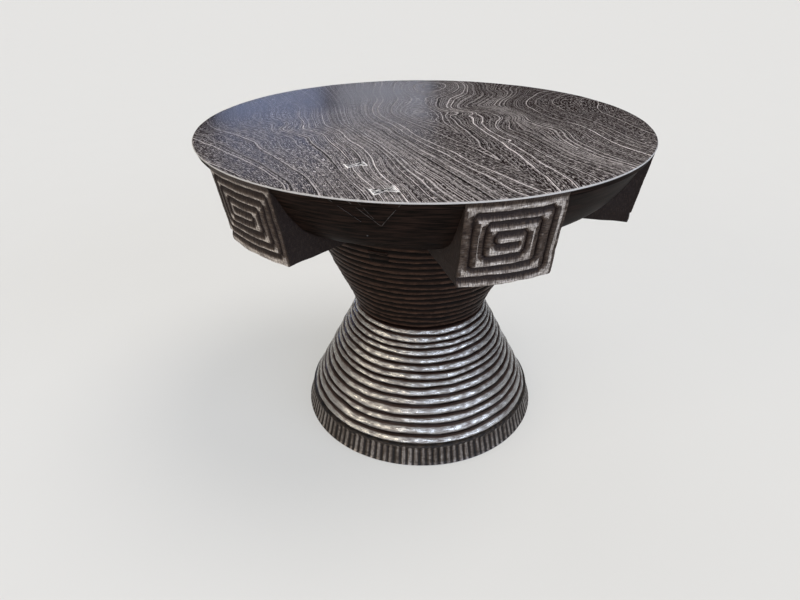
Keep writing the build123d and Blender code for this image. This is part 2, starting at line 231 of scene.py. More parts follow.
def limed_teak_top():
    """Fuming darkens plain-sawn teak to charcoal and lime wax stays in its open pores.

    The eye reads pale, slightly pink hairlines that follow the growth rings over a satin
    charcoal ground, each with a dark edge beside it, and short flecks between them. The
    marks give the number of ring edges from the heart, how many of them lie in one mm,
    and the distance across the grain in mm. The liming gives how much lime the edges
    hold, how dark the stain beside them is and how much lime the pores hold.
    """
    material, tree = new_finish("fumed_limed_teak_satin")
    place = put(tree, "TexCoord", out="Object")
    mark = put(tree, "Attribute", attribute_name="carving", out="Vector")
    liming = put(tree, "Attribute", attribute_name="liming", out="Vector")
    count, density, across, edge_share, stain_share, pore_share = (
        put(tree, "SeparateXYZ", {0: layer}, out=axis)
        for layer in (mark, liming)
        for axis in range(3)
    )

    # Rings waver by up to 3 mm over 45 mm and by 1 mm over 12 mm, lime breaks up every 20 mm
    # along a ring, and its lines are ragged every 4 mm
    noises = []
    for aside, along, detail in ((22, 9, 1), (85, 30, 2), (130, 45, 3), (560, 260, 2)):
        at = put(tree, "Mapping", {0: place, 3: (aside, along, 1)})
        noises.append(put(tree, "TexNoise", {"Vector": at, "Scale": 1.0, "Detail": detail}))
    slow, quick, broken, ragged = noises
    waver = put(tree, "Math", {0: slow, 1: 7.0}, **TIMES)
    waver = put(tree, "Math", {0: quick, 1: 2.4, 2: waver}, **TIMES_PLUS)
    ring = put(tree, "Math", {0: waver, 1: density, 2: count}, **TIMES_PLUS)

    # Two or three fainter lines lie between the bold ones, and fine ones 4 mm apart
    fine_pitch = 4.0
    middle_at = put(tree, "Math", {0: ring, 1: 2.6}, **TIMES)
    fine_at = put(tree, "Math", {0: across, 1: waver}, operation="ADD")
    fine_at = put(tree, "Math", {0: fine_at, 1: 1 / fine_pitch}, **TIMES)

    # Bold lines differ in width, and lime takes in some rings more than in others
    fatness, taken, middle_taken = (
        put(tree, "TexNoise", {"W": at, "Scale": scale, "Detail": 1.0}, noise_dimensions="1D")
        for at, scale in ((ring, 0.9), (ring, 1.3), (middle_at, 1.1))
    )
    fatness = put(tree, "MapRange", {0: fatness, 1: 0.35, 2: 0.65, 3: 0.6, 4: 1.35})
    taken = put(tree, "MapRange", {0: taken, 1: 0.38, 2: 0.6, 3: 0.3, 4: 1.0}, **EASED)
    middle_taken = put(tree, "MapRange", {0: middle_taken, 1: 0.4, 2: 0.6, 3: 0.08, 4: 0.5})

    # A bold line reaches 1.1 mm to either side of its ring edge, drawn wider than real to show
    spread = put(tree, "MapRange", {0: across, 1: -180, 2: -215, 3: 1.05, 4: 1.25}, **EASED)
    width = put(tree, "Math", {0: density, 1: spread}, **TIMES)
    width = put(tree, "Math", {0: width, 1: fatness}, **TIMES)
    beside_at = put(tree, "Math", {0: width, 1: 1.8, 2: ring}, **TIMES_PLUS)

    # Each kind of line: where it is counted, how unevenly it is spaced, the unit its distance
    # is measured in, and from where to where it fades in that unit
    lines = []
    for at, uneven, unit, full, gone in (
        (ring, 0.95, width, 0.55, 1.05),
        (beside_at, 0.95, width, 0.7, 1.6),
        (middle_at, 1.0, density, 1.2, 2.6),
        (fine_at, 1.0, 1 / fine_pitch, 0.16, 0.68),
    ):
        away = put(
            tree, "TexVoronoi", {"W": at, "Scale": 1.0, "Randomness": uneven},
            out="Distance", voronoi_dimensions="1D", feature="DISTANCE_TO_EDGE",
        )
        away = put(tree, "Math", {0: away, 1: unit}, operation="DIVIDE")
        lines.append(put(tree, "MapRange", {0: away, 1: full, 2: gone, 3: 1.0, 4: 0.0}, **EASED))
    bold_line, dark_line, middle_line, fine_line = lines

    solid = put(tree, "MapRange", {0: broken, 1: 0.34, 2: 0.54, 3: 0.5, 4: 1.0}, **EASED)
    sparse = put(tree, "MapRange", {0: broken, 1: 0.38, 2: 0.62, 3: 0.08, 4: 0.36}, **EASED)
    ragged = put(tree, "MapRange", {0: ragged, 1: 0.36, 2: 0.52, 3: 0.5, 4: 1.0})
    bold_lime = put(tree, "Math", {0: bold_line, 1: taken}, **TIMES)
    middle_lime = put(tree, "Math", {0: middle_line, 1: middle_taken}, **TIMES)
    bold_lime = put(tree, "Math", {0: bold_lime, 1: middle_lime}, **LARGER)
    for share in (solid, ragged, edge_share):
        bold_lime = put(tree, "Math", {0: bold_lime, 1: share}, **TIMES)
    fine_lime = put(tree, "Math", {0: fine_line, 1: sparse}, **TIMES)
    dark_cut = put(tree, "Math", {0: dark_line, 1: taken}, **TIMES)
    dark_cut = put(tree, "Math", {0: dark_cut, 1: stain_share}, **TIMES)
    clean = put(tree, "Math", {0: 1.0, 1: dark_cut}, operation="SUBTRACT")

    # Open pores 1.2 mm wide and 9 mm long lie along the grain, drawn coarser than real, over
    # a ground whose tone changes every 8 mm across the grain and every 110 mm along it
    length_at = put(tree, "SeparateXYZ", {0: place}, out=1)
    noises = []
    for aside, along, detail, rough in ((3.4, 115.0, 2.0, 0.6), (0.5, 9.0, 3.0, 0.5)):
        aside = put(tree, "Math", {0: fine_at, 1: aside}, **TIMES)
        along = put(tree, "Math", {0: length_at, 1: along}, **TIMES)
        at = put(tree, "CombineXYZ", {0: aside, 1: along})
        inputs = {"Vector": at, "Scale": 1.0, "Detail": detail, "Roughness": rough}
        noises.append(put(tree, "TexNoise", inputs))
    pores, shade = noises
    fleck = put(tree, "MapRange", {0: pores, 1: 0.54, 2: 0.66, 3: 0.0, 4: 1.0}, **EASED)
    lime = put(tree, "Math", {0: fine_lime, 1: fleck}, **LARGER)
    for share in (pore_share, clean):
        lime = put(tree, "Math", {0: lime, 1: share}, **TIMES)
    lime = put(tree, "Math", {0: lime, 1: bold_lime}, **LARGER)

    # The rim's arris is rubbed pale, from 2 mm inside its edge, and painted paler still as a
    # painted highlight along it
    flat = put(tree, "VectorMath", {0: place, 1: (1.0, 1.0, 0.0)}, out="Vector", **TIMES)
    reach = put(tree, "VectorMath", {0: flat}, out="Value", operation="LENGTH")
    rubbed_and_highlight = put(tree, "MapRange", {0: reach, 1: 0.4, 2: 0.4009}, **EASED)

    # The rim's pale tint stands for its wear and for a painted highlight on the arris
    colour = hex_colour("#120e0e")
    for share, tint in (
        (shade, "#292221"), (dark_cut, "#060504"), (lime, "#ded7d3"), (rubbed_and_highlight, "#8b8a87")
    ):
        colour = put(tree, "Mix", {0: share, 6: colour, 7: hex_colour(tint)}, **TINTS)
    gloss = put(tree, "MapRange", {0: lime, 1: 0.0, 2: 1.0, 3: 0.21, 4: 0.42})
    gloss = put(tree, "Math", {0: dark_cut, 1: 0.4, 2: gloss}, **TIMES_PLUS)

    # Lime stands a little proud of the brushed ground, the dark edges are cut into it
    relief = put(tree, "Math", {0: dark_cut, 1: -0.9, 2: lime}, **TIMES_PLUS)
    normal = put(tree, "Bump", {"Strength": 0.6, "Distance": 0.0007, "Height": relief})
    inputs = {"Base Color": colour, "Roughness": gloss, "Normal": normal}
    shader = put(tree, "BsdfPrincipled", {**inputs, "Specular IOR Level": 0.0003})
    put(tree, "OutputMaterial", {"Surface": shader})
    return material


def carved_teak(name, groove, wood, crest, rub, roughness, shine, lustre, hatch):
    """Carved teak, stained near black in the hollows, its crests burnished with graphite wax.

    The eye reads dark cuts, brown flanks and pewter crests whose shine short gouge marks
    break up. Rub is how far the crests are rubbed bare, lustre the wax's metallic share
    and hatch how strongly the cross cuts show. The marks give the distance along the
    carving and across it in mm, and how hollow the place is, from 0 on a crest to 1 in a
    groove; on the blocks that last mark also carries painted shade.
    """
    material, tree = new_finish(name)
    mark = put(tree, "Attribute", attribute_name="carving", out="Vector")
    hollow = put(tree, "SeparateXYZ", {0: mark}, out=2)

    # Gouge cuts 1.6 mm wide run across the carving, fibres 1.3 mm wide slant along it, and
    # the wax is patchy every 10 to 20 mm
    noises = []
    for slant, along, aside, detail, rough in (
        (0, 0.62, 0.09, 2.0, 0.6), (radians(5), 0.045, 0.75, 2.0, 0.6), (0, 0.05, 0.09, 3.0, 0.5)
    ):
        at = put(tree, "Mapping", {0: mark, 2: (0, 0, slant), 3: (along, aside, 0)})
        inputs = {"Vector": at, "Scale": 1.0, "Detail": detail, "Roughness": rough}
        noises.append(put(tree, "TexNoise", inputs))
    cuts, fibres, patches = noises

    # Stain deepens from the crest into the groove, and the cuts hold more of it
    cut_stain = put(tree, "MapRange", {0: cuts, 1: 0.38, 2: 0.6, 3: 0.6 * hatch, 4: 0.0})
    stain = put(tree, "MapRange", {0: hollow, 1: 0.15, 2: 0.85})
    stain = put(tree, "Math", {0: stain, 1: cut_stain}, operation="ADD", use_clamp=True)

    # Wax sits on the crests, in patches and streaks that the cuts nick
    worn = put(tree, "MapRange", {0: hollow, 1: 0.42, 2: 0.04, 3: 0.0, 4: rub}, **EASED)
    patchy = put(tree, "MapRange", {0: patches, 1: 0.35, 2: 0.6, 3: 0.45, 4: 1.0}, **EASED)
    streaky = put(tree, "MapRange", {0: fibres, 1: 0.36, 2: 0.58, 3: 0.25, 4: 1.0}, **EASED)
    nicked = put(tree, "MapRange", {0: cuts, 1: 0.4, 2: 0.56, 3: 1.0 - 0.75 * hatch, 4: 1.0})
    for share in (patchy, streaky, nicked):
        worn = put(tree, "Math", {0: worn, 1: share}, **TIMES)

    colour = hex_colour(wood)
    for share, tint in ((stain, groove), (worn, crest)):
        colour = put(tree, "Mix", {0: share, 6: colour, 7: hex_colour(tint)}, **TINTS)
    gloss = put(tree, "MapRange", {0: hollow, 1: 0.1, 2: 0.7, 3: roughness, 4: roughness + 0.3})
    wax = put(tree, "Math", {0: worn, 1: lustre}, **TIMES)
    height = put(tree, "Math", {0: cuts, 1: 0.9 * hatch, 2: fibres}, **TIMES_PLUS)
    strength = 0.4 + 0.4 * hatch
    normal = put(tree, "Bump", {"Strength": strength, "Distance": 0.0013, "Height": height})
    inputs = {"Base Color": colour, "Metallic": wax, "Roughness": gloss, "Normal": normal}
    shader = put(tree, "BsdfPrincipled", {**inputs, "Specular IOR Level": shine})
    put(tree, "OutputMaterial", {"Surface": shader})
    return material


def smoked_teak():
    """Sanding and oil leave the smoked drum almost black, smooth and softly shining.

    The eye reads faint, browner fibres that slant down its wall.
    """
    material, tree = new_finish("smoked_teak_sanded_oiled")
    mark = put(tree, "Attribute", attribute_name="carving", out="Vector")
    # Bundles of fibres 4 mm wide and 45 mm long, drawn coarser than real to show
    slant = put(tree, "Mapping", {0: mark, 2: (0, 0, radians(38)), 3: (0.022, 0.26, 0)})
    inputs = {"Vector": slant, "Scale": 1.0, "Detail": 5.0, "Roughness": 0.6}
    fibres = put(tree, "TexNoise", inputs)
    tone = put(tree, "MapRange", {0: fibres, 1: 0.35, 2: 0.7}, **EASED)
    tints = {6: hex_colour("#050403"), 7: hex_colour("#1d1410")}
    colour = put(tree, "Mix", {0: tone, **tints}, **TINTS)
    normal = put(tree, "Bump", {"Strength": 0.15, "Distance": 0.0005, "Height": fibres})
    oiled = {"Roughness": 0.52, "IOR": 1.15, "Specular IOR Level": 0.15}
    shader = put(tree, "BsdfPrincipled", {"Base Color": colour, "Normal": normal, **oiled})
    put(tree, "OutputMaterial", {"Surface": shader})
    return material


def limed_key():
    """A bow-tie key of pale, split-grained teak, its joint line filled with white lime.

    The eye reads a silvery key with dark streaks along it and a bright outline. The marks
    give the distance along the key and across it in mm, and how near its outline is.
    """
    material, tree = new_finish("limed_teak_key_streaked")
    mark = put(tree, "Attribute", attribute_name="carving", out="Vector")
    outline = put(tree, "SeparateXYZ", {0: mark}, out=2)
    # Splits 2 mm wide and 8 mm long slant along the key
    at = put(tree, "Mapping", {0: mark, 2: (0, 0, radians(-20)), 3: (0.13, 0.5, 0)})
    inputs = {"Vector": at, "Scale": 1.0, "Detail": 3.0, "Roughness": 0.6}
    streaks = put(tree, "TexNoise", inputs)
    pale = put(tree, "MapRange", {0: streaks, 1: 0.5, 2: 0.6}, **EASED)
    pale = put(tree, "Math", {0: pale, 1: outline}, **LARGER)
    tints = {6: hex_colour("#1b1918"), 7: hex_colour("#e0deda")}
    colour = put(tree, "Mix", {0: pale, **tints}, **TINTS)
    normal = put(tree, "Bump", {"Strength": 0.4, "Distance": 0.0004, "Height": pale})
    waxed = {"Roughness": 0.36, "Specular IOR Level": 0.0003}
    shader = put(tree, "BsdfPrincipled", {"Base Color": colour, "Normal": normal, **waxed})
    put(tree, "OutputMaterial", {"Surface": shader})
    return material


def plain_finish(name, low, high, roughness, scale_mm, metallic=0.0, stretch=1.0):
    """A hidden or small part: two close tones in a grain of this size, with a light bump."""
    material, tree = new_finish(name)
    place = put(tree, "TexCoord", out="Object")
    fine = 1000 / scale_mm
    at = put(tree, "Mapping", {0: place, 3: (fine, fine, fine / stretch)})
    noise = put(tree, "TexNoise", {"Vector": at, "Scale": 1.0, "Detail": 4.0})
    colour = put(tree, "Mix", {0: noise, 6: hex_colour(low), 7: hex_colour(high)}, **TINTS)
    normal = put(tree, "Bump", {"Strength": 0.2, "Distance": 0.0004, "Height": noise})
    inputs = {"Base Color": colour, "Roughness": roughness, "Metallic": metallic}
    shader = put(tree, "BsdfPrincipled", {**inputs, "Normal": normal})
    put(tree, "OutputMaterial", {"Surface": shader})
    return material


top_finish = limed_teak_top()
key_finish = limed_key()
drum_finish = smoked_teak()

# Hatched by a gouge, so that the rubbed crests look combed
block_finish = carved_teak(
    "gouged_teak_pewter", groove="#120a07", wood="#40352c", crest="#b4ada4",
    rub=0.95, roughness=0.3, shine=0.12, lustre=0.7, hatch=1.0,
)
# Left near black as painted shade, a darker copy of the ringed teak for the shade under the drum,
# so that only faint brown crests show
upper_cone_shaded_finish = carved_teak(
    "ringed_teak_brown_painted_shade", groove="#030201", wood="#110a07", crest="#3b2b22",
    rub=0.85, roughness=0.36, shine=0.04, lustre=0.2, hatch=0.3,
)
# Burnished most, so that its rings shine like metal
lower_cone_finish = carved_teak(
    "ringed_teak_pewter", groove="#0d0604", wood="#2f2018", crest="#a6a6a1",
    rub=1.0, roughness=0.2, shine=0.15, lustre=0.92, hatch=0.2,
)
# Duller, its crests darker than the lower cone's
base_finish = carved_teak(
    "fluted_teak_pewter", groove="#080605", wood="#31281f", crest="#7d7974",
    rub=1.0, roughness=0.28, shine=0.15, lustre=0.8, hatch=0.5,
)

# Brown wax pressed into a joint gives a dull line of almost one tone
filler_finish = plain_finish("pressed_brown_wax", "#1c1816", "#302b28", 0.6, 3.0)
# Iron sunk under smoke-black wax is a dull dark dot
nail_finish = plain_finish("iron_under_black_wax", "#070606", "#141111", 0.6, 0.5)
# Turned beech is pale, its grain drawn out along the dowel
dowel_finish = plain_finish("turned_beech", "#a8804f", "#c49a66", 0.55, 1.5, stretch=12.0)
# Zinc plating gives the screws a bright, finely spangled grey
steel_finish = plain_finish("zinc_plated_steel", "#8f9193", "#b5b6b8", 0.32, 1.0, metallic=1.0)
# Pressed felt is a mottled dark grey without shine
felt_finish = plain_finish("pressed_felt", "#181513", "#2c2724", 0.95, 0.8)


# ---------------------------------------------------------------- top board

# Points along growth rings of the top in mm, each list led by its distance across the grain
GROWTH_RINGS = [
    (-330, [(-396, 75), (-372, 40), (-352, 14)]),
    (-345, [(-398, 20), (-376, -30), (-350, -75), (-322, -138), (-298, -190), (-278, -255)]),
    (-300, [(-385, 60), (-355, 5), (-310, -62), (-284, -130), (-266, -205), (-251, -268)]),
    (-265, [(-335, 62), (-300, 30), (-268, -60), (-256, -140), (-231, -220), (-223, -330)]),
    (-232, [(-300, 110), (-270, 40), (-246, -80), (-221, -165), (-208, -240), (-200, -350)]),
    (-198, [(-225, 170), (-212, -20), (-196, -90), (-190, -150), (-191, -230), (-180, -360)]),
    (-166, [(-175, 200), (-168, -20), (-158, -140), (-157, -185), (-166, -225), (-160, -370)]),
    (-140, [(-148, 150), (-145, -20), (-136, -110), (-138, -200), (-143, -280), (-138, -370)]),
    (-110, [(-115, 200), (-130, -50), (-116, -110), (-110, -200), (-103, -300), (-100, -380)]),
    (-76, [(-70, 350), (-90, 200), (-108, 0), (-88, -130), (-75, -210), (-65, -300), (-52, -390)]),
    (-44, [(-20, 350), (-45, 200), (-70, 0), (-55, -110), (-45, -200), (-30, -300), (-22, -392)]),
    (-20, [(20, 350), (-15, 200), (-45, 20), (-38, -100), (-13, -200), (3, -290), (20, -388)]),
    (-12, [(-3, -230), (15, -290), (30, -340), (45, -378), (55, -340), (61, -285), (66, -225)]
        + [(70, -165)]),
    (0, [(-22, -20), (-3, -120), (12, -190), (24, -245), (34, -280), (41, -297), (47, -272)]
        + [(54, -225), (59, -170)]),
    (11, [(-4, -60), (6, -110), (14, -140), (23, -164), (31, -176), (40, -158), (48, -135)]
        + [(54, -100)]),
    (19, [(2, -40), (14, -70), (34, -97), (45, -75)]),
    (27, [(-5, 20), (8, -20), (32, -46), (46, -5)]),
    (36, [(-8, 70), (0, 28), (20, 12), (44, 28), (50, 95), (62, 160), (105, 215), (160, 275)]
        + [(178, 320)]),
    (-2, [(57, -110), (60, 10), (72, 110), (98, 178), (155, 225), (170, 255), (195, 320)]),
    (-24, [(68, -388), (72, -280), (76, -195), (81, -120), (86, -30), (95, 20), (98, 60)]),
    (-50, [(118, -350), (106, -250), (106, -150), (102, -80), (108, -56), (125, -42), (150, -36)]),
    (-74, [(146, -350), (131, -270), (130, -190), (122, -110), (119, -85), (130, -62), (152, -50)]),
    (-98, [(174, -350), (151, -260), (149, -170), (143, -98), (155, -45), (160, 40), (185, 130)]
        + [(215, 165)]),
    (-122, [(198, -340), (175, -250), (176, -172), (200, -120), (182, 0), (186, 90), (235, 150)]
        + [(260, 190)]),
    (-178, [(228, -310), (222, -180), (214, -60), (205, 50), (240, 120), (285, 170)]),
    (-206, [(254, -280), (252, -140), (229, -60), (227, 0), (234, 60), (265, 118), (310, 160)]),
    (-232, [(272, -270), (275, -140), (265, -30), (262, 30), (281, 95), (340, 150)]),
    (-262, [(300, -240), (303, -140), (305, -50), (318, 30), (362, 98), (385, 118)]),
    (-300, [(345, -180), (350, -80), (372, 10), (392, 40)]),
    (-70, [(215, 320), (200, 240), (150, 150), (112, 50)]),
    (-120, [(290, 270), (240, 220)]),
    (-190, [(345, 190), (310, 190)]),
]

# Knots: centre, radius in mm, and how far the rings swirl there in degrees
KNOTS = [
    (-238, 45, 40, 38), (118, 60, 46, -60), (75, 45, 26, 45),
    (160, -25, 30, 30), (95, -165, 9, 60), (-205, 215, 40, -15),
]

# Ring edges counted from the heart against the distance across the grain, on the left and
# on the right of the heart: 8 to 12 mm apart near it, 20 to 22 mm apart near the rim
EDGES_LEFT = [
    (-400, -29.5), (-205, -20.2), (-190, -19.2), (-130, -13.0), (-60, -5.5), (0, 0.0), (60, 4.0),
]
EDGES_RIGHT = [
    (-400, -22.7), (-160, -12.2), (-80, -5.2), (-50, -4.0), (0, 0.0), (60, 4.0),
]


# The heart of the plank, whose rings meet in sharp points along this line
HEART = [(-420, 46), (-378, 45), (-297, 41), (-176, 31), (-97, 34), (-46, 32), (12, 20), (60, 15)]


def heart_ridge(x, y):
    """How far the grain falls away from the heart's sharp ridge, in mm."""
    aside = np.abs(x - np.interp(y, *zip(*HEART)))
    fade = np.clip((30 - y) / 70, 0, 1)
    return 0.85 * fade * (np.hypot(aside, 24) - aside - 24)


def across_grain(x, y):
    """Distance across the grain at plan positions, a thin-plate surface over the rings."""
    for centre_x, centre_y, reach, swirl in KNOTS:
        east, north = x - centre_x, y - centre_y
        turn = np.radians(swirl) * np.exp(-(east**2 + north**2) / reach**2)
        east, north = swing(east, north, turn)
        x, y = centre_x + east, centre_y + north
    points = np.array([point for _, ring in GROWTH_RINGS for point in ring], float)
    values = np.array([value for value, ring in GROWTH_RINGS for _ in ring], float)
    values -= heart_ridge(points[:, 0], points[:, 1])

    def bend(squared):
        return 0.5 * squared * np.log(squared + 1e-6) / 1e4

    count = len(points)
    apart = ((points[:, None] - points[None]) ** 2).sum(-1)
    system = np.zeros((count + 3, count + 3))
    system[:count, :count] = bend(apart) + 0.15 * np.eye(count)
    system[:count, count] = system[count, :count] = 1
    system[:count, count + 1 :] = points / 100
    system[count + 1 :, :count] = points.T / 100
    weights = np.linalg.solve(system, np.concatenate([values, np.zeros(3)]))
    result = heart_ridge(x, y)
    result = result + weights[count] + weights[count + 1] * x / 100 + weights[count + 2] * y / 100
    for weight, (ring_x, ring_y) in zip(weights, points):
        result = result + weight * bend((x - ring_x) ** 2 + (y - ring_y) ** 2)
    return result


# What the wood took up: plan position, then the shares of lime in the ring edges, of dark
# stain beside them and of lime in the pores
TAKEN_UP = [
    (-319, 183, 0.08, 0.06, 0.1), (-355, -80, 0.6, 0.4, 0.5), (-310, -190, 0.5, 0.5, 0.5),
    (-210, 215, 0.2, 0.12, 0.2), (-228, 20, 0.8, 0.5, 0.45), (-235, -185, 0.55, 0.9, 1.0),
    (-140, 215, 0.1, 0.06, 0.12), (-150, 70, 0.4, 0.3, 0.3), (-150, -120, 0.8, 0.9, 0.5),
    (-92, -270, 1.0, 1.0, 0.5), (-10, 270, 0.12, 0.08, 0.12), (-50, 60, 0.4, 0.3, 0.3),
    (110, 310, 0.3, 0.4, 0.2), (-250, 110, 0.35, 0.16, 0.35), (30, 130, 0.45, 0.35, 0.3),
    (-20, -80, 0.6, 0.7, 0.4), (40, -230, 1.0, 1.0, 0.45), (60, -10, 1.0, 1.0, 0.3),
    (155, 275, 0.48, 0.8, 0.35), (130, 140, 0.8, 1.0, 0.3), (110, -330, 1.0, 1.0, 0.5),
    (140, -150, 0.9, 1.0, 0.35), (250, 210, 0.4, 0.7, 0.22), (255, 20, 0.45, 0.8, 0.28),
    (225, -240, 0.9, 0.9, 0.5), (360, -40, 0.42, 0.5, 0.32), (340, -180, 0.6, 0.6, 0.4),
]


def taken_up(x, y):
    """The three shares of TAKEN_UP at plan positions, blended from the nearest ones."""
    totals, weights = np.zeros(x.shape + (3,)), np.zeros(x.shape + (1,))
    for place_x, place_y, *shares in TAKEN_UP:
        weight = 1 / ((x - place_x) ** 2 + (y - place_y) ** 2 + 1600)[..., None] ** 2
        totals += weight * np.array(shares)
        weights += weight
    return totals / weights


def ring_edges(x, y):
    """Number of ring edges between the heart and these plan positions, and mm across them."""
    across = across_grain(x, y)
    to_right = np.clip((x - 20) / 50, 0, 1)
    left = np.interp(across, *zip(*EDGES_LEFT))
    right = np.interp(across, *zip(*EDGES_RIGHT))
    return left + (right - left) * to_right, across


def top_board():
    """The round board: a flat with a worn, slightly uneven arris and a slim edge."""
    columns, arris, rim_width = 540, 1.6, 22.0
    azimuth = np.arange(columns) * 360 / columns
    flat = np.linspace(4, TOP_RADIUS - arris, 108)
    turns = np.radians(np.arange(15, 91, 15))
    bevel_radius = TOP_RADIUS - arris + arris * np.sin(turns)
    bevel_height = TABLE_HEIGHT - arris + arris * np.cos(turns)
    radii = np.concatenate([flat, bevel_radius, [401.9, 401.2, 398, 396.8, 396.8, 380, 4]])
    lip = [FACE_TOP, 606.9, 606.8, 606.6, MOUTH_HEIGHT, MOUTH_HEIGHT, MOUTH_HEIGHT]
    heights = np.concatenate([np.full(len(flat), TABLE_HEIGHT), bevel_height, lip])
    radius, height, turn = ring_grid(radii, heights, azimuth)
    edge = np.clip((radius - (TOP_RADIUS - rim_width)) / rim_width, 0, 1)
    radius -= edge * (0.42 + 0.3 * drift(11, turn / 9, wrap=40))
    on_top = height > TABLE_HEIGHT - arris - 0.01
    x, y = polar(radius, turn)
    dips = 0.25 + 0.2 * drift(12, x / 60 + 50, y / 90 + 50)
    dips = dips + 0.25 * edge**6 * (1 + drift(13, turn / 4, wrap=90))
    height -= np.where(on_top, dips, 0)
    count, across = ring_edges(x, y)
    step = 2
    east, north = ring_edges(x + step, y)[0] - count, ring_edges(x, y + step)[0] - count
    density = np.clip(np.hypot(east, north) / step, 0.012, 0.25)
    marks = np.stack([count, density, across], axis=-1)
    board = lathe_piece(
        "top_board_top", radius, height, turn, marks, "top_wood", top_finish, "top_board"
    )
    layer = board.data.attributes.new("liming", "FLOAT_VECTOR", "POINT")
    layer.data.foreach_set("vector", with_centres(taken_up(x, y)).astype(np.float32).ravel())


def bow_tie_key(name, node, centre, azimuth, turn, length, end, waist, seed):
    """A bow-tie key let into the top, its outline cut a little unevenly by hand."""
    right = [(0, -waist / 2), (length / 2, -end / 2), (length / 2, end / 2)]
    corners = [(-length / 2, -end / 2), *right, (0, waist / 2), (-length / 2, end / 2)]
    outline = []
    for start, stop in zip(corners, corners[1:] + corners[:1]):
        for share in np.linspace(0, 1, 9)[:-1]:
            outline.append([start[i] + (stop[i] - start[i]) * share for i in (0, 1)])
    outline = np.array(outline)
    count = len(outline)
    waver = [drift(seed + i, np.arange(count) / 2) for i in (0, 1)]
    outline += 0.45 * np.stack(waver, axis=-1)
    x0, y0 = polar(centre, azimuth)

    # From the foot of the pocket up to the face: share drawn in, height and nearness to the
    # outline
    foot, face = 602.5, 609.9
    rings, marks = [], []
    for shrink, height, rim in (
        (0.0, foot, 1), (0.0, 609.75, 1), (0.06, 609.95, 1), (0.14, 609.95, 0.1), (0.5, face, 0)
    ):
        local = outline * (1 - shrink)
        x, y = swing(local[:, 0], local[:, 1], radians(turn))
        rings.append(np.stack([x0 + x, y0 + y, np.full(count, height)], axis=-1))
        marks.append(np.column_stack([local + seed * 3, np.full(count, rim)]))
    points = np.concatenate(rings + [[(x0, y0, foot)], [(x0, y0, face)]])
    marks = np.concatenate(marks + [[(seed * 3, seed * 3, 0)] * 2])
    faces = lathe_faces(len(rings), count)
    return make_piece(name, points, faces, "key_wood", key_finish, node, 30.0, marks)


top_board()
bow_tie_key("key_large", "top_key_large", 362, -26.4, 3.5, 36, 27, 8, 21)
bow_tie_key("key_small", "top_key_small", 270, -39.6, 6.5, 31, 21, 7, 27)


# ---------------------------------------------------------------- carved blocks

# Each block was carved by eye: its groove in mm from the middle of the face and down from
# its top edge, in six turns 17 mm apart on some and in seven turns 14.5 mm apart on others
WIDE_PITCH = 17.0
WIDE_SPIRAL = WIDE_PITCH, [
    (-76, 119), (55, 118), (55, 17), (-60, 18), (-60, 102), (38, 101), (38, 32),
    (-42, 32), (-42, 85), (19, 84), (19, 49), (-28, 49), (-28, 67), (8, 67),
]
CLOSE_SPIRAL = 14.5, [
    (-76, 115), (64, 116), (64, 14), (-64, 13), (-64, 100), (51, 101), (51, 29), (-52, 28),
    (-52, 86), (37, 86), (37, 43), (-39, 42), (-39, 72), (21, 72), (21, 57), (-24, 57),
]


